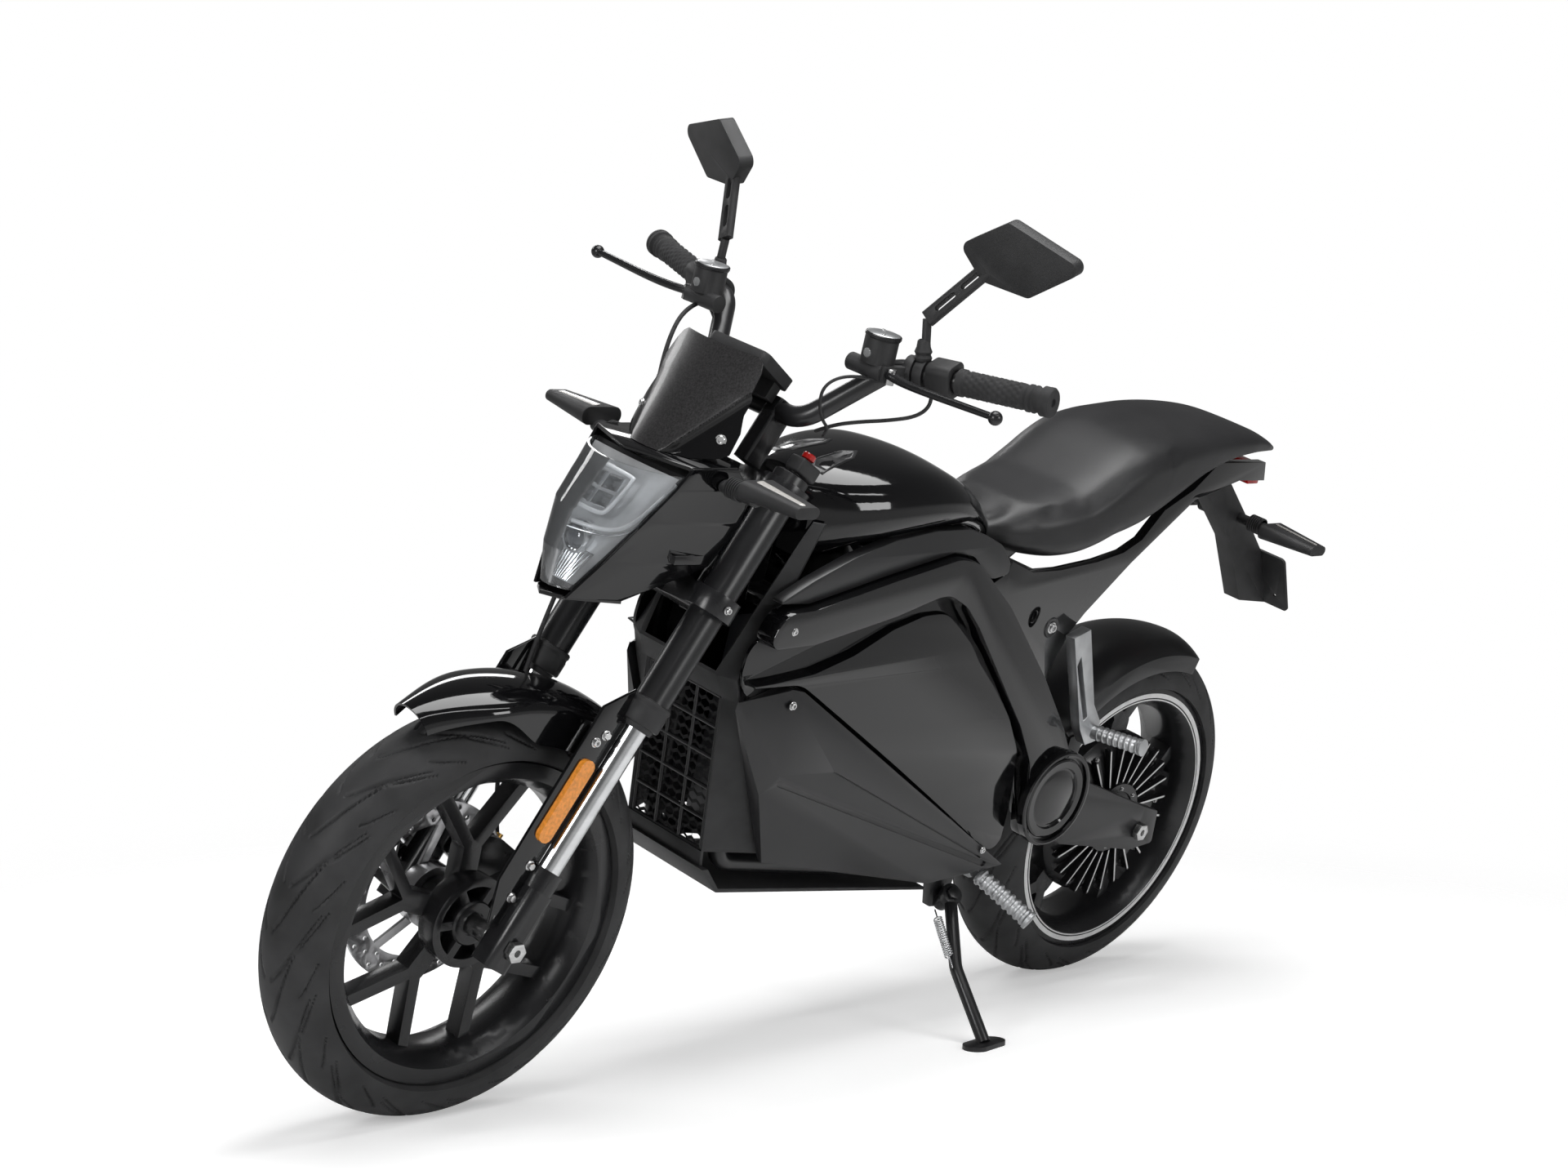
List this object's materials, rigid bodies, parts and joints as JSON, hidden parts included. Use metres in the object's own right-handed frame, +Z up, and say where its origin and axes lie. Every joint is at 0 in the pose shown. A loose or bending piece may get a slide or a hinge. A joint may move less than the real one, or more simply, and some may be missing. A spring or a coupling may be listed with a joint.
{
  "type": "electric moped",
  "caption": "Small electric motorcycle leaning on its side stand, with a hub motor in the rear wheel, a black body, a clear headlight and a two-level seat.",
  "frame": {"origin": "middle of the whole machine's box, on the floor it stands on", "axes": "+X forward, +Y to the machine's left, +Z up; the machine leans about 16 degrees towards +Y onto its side stand"},
  "size_m": [2.009, 0.86, 1.3549],
  "materials": {
    "tyre": "satin",
    "black_casting": "satin",
    "disc_steel": "satin",
    "axle_steel": "satin",
    "fork_black": "satin",
    "fork_chrome": "polished",
    "bar_black": "satin",
    "grip_rubber": "matt",
    "control_plastic": "matt",
    "lever_metal": "satin",
    "mirror_black": "gloss",
    "screen_black": "gloss",
    "lamp_clear": "gloss",
    "lamp_inside": "satin",
    "body_gloss": "gloss",
    "body_satin": "satin",
    "frame_black": "satin",
    "reflector_amber": "gloss",
    "caliper_black": "satin",
    "frame_gloss": "gloss",
    "battery_block": "matt",
    "seat_leather": "satin",
    "lamp_red": "gloss",
    "swingarm_black": "satin",
    "cast_silver": "satin",
    "stand_black": "satin",
    "spring_steel": "satin"
  },
  "bodies": {
    "chassis": {"rear_axle": "axle_steel", "main_frame": "frame_gloss", "lower_cradle": "frame_black", "battery_pack": "battery_block", "tank_cover": "body_gloss", "tank_trim": "body_satin", "upper_side_panels": "body_gloss", "lower_side_panels": "body_satin", "front_shroud": "body_satin", "grille": "body_satin", "belly_pan": "body_satin", "seat": "seat_leather", "tail_cover": "body_gloss", "tail_lamp": "lamp_red", "plate_holder": "body_satin", "rear_signals": "control_plastic", "swingarm": "swingarm_black", "rear_shock": "frame_black", "hugger": "body_satin", "rear_caliper": "caliper_black", "peg_brackets": "cast_silver", "rider_pegs": "cast_silver", "pivot_covers": "body_satin"},
    "steering": {"front_axle": "axle_steel", "fork_outer_tubes": "fork_black", "fork_inner_tubes": "fork_chrome", "axle_lugs": "fork_black", "fork_clamps": "fork_black", "handlebar": "bar_black", "grips": "grip_rubber", "switch_housings": "control_plastic", "master_cylinders": "control_plastic", "levers": "lever_metal", "mirrors": "mirror_black", "display": "screen_black", "headlight_lens": "lamp_clear", "headlight_housing": "lamp_inside", "nose_fairing": "body_gloss", "flyscreen": "body_satin", "front_signals": "control_plastic", "front_fender": "body_satin", "fender_brackets": "frame_black", "side_reflectors": "reflector_amber", "front_caliper": "caliper_black"},
    "front_wheel": {"front_tyre": "tyre", "front_rim": "black_casting", "front_brake_disc": "disc_steel"},
    "rear_wheel": {"rear_tyre": "tyre", "rear_rim": "black_casting", "rear_brake_disc": "disc_steel"},
    "side_stand": {"side_stand": "stand_black", "stand_spring": "spring_steel"}
  },
  "joints": [
    {"name": "steering", "type": "hinge", "parent": "chassis", "child": "steering", "pos_m": [0.68093, -0.21149, 0.26918], "axis": [-0.47, 0.2433, 0.8485], "range_deg": [-26.8, 33.2]},
    {"name": "front_wheel_spin", "type": "hinge", "parent": "steering", "child": "front_wheel", "pos_m": [0.71178, -0.20884, 0.28551], "axis": [0.0493, 0.967, -0.25], "continuous": true},
    {"name": "rear_wheel_spin", "type": "hinge", "parent": "chassis", "child": "rear_wheel", "pos_m": [-0.67317, -0.20637, 0.28705], "axis": [0, 0.9613, -0.2756], "continuous": true},
    {"name": "side_stand_swing", "type": "hinge", "parent": "chassis", "child": "side_stand", "pos_m": [-0.22114, -0.1223, 0.2029], "axis": [0.1905, 0.8371, 0.5128], "range_deg": [0, 80]}
  ]
}
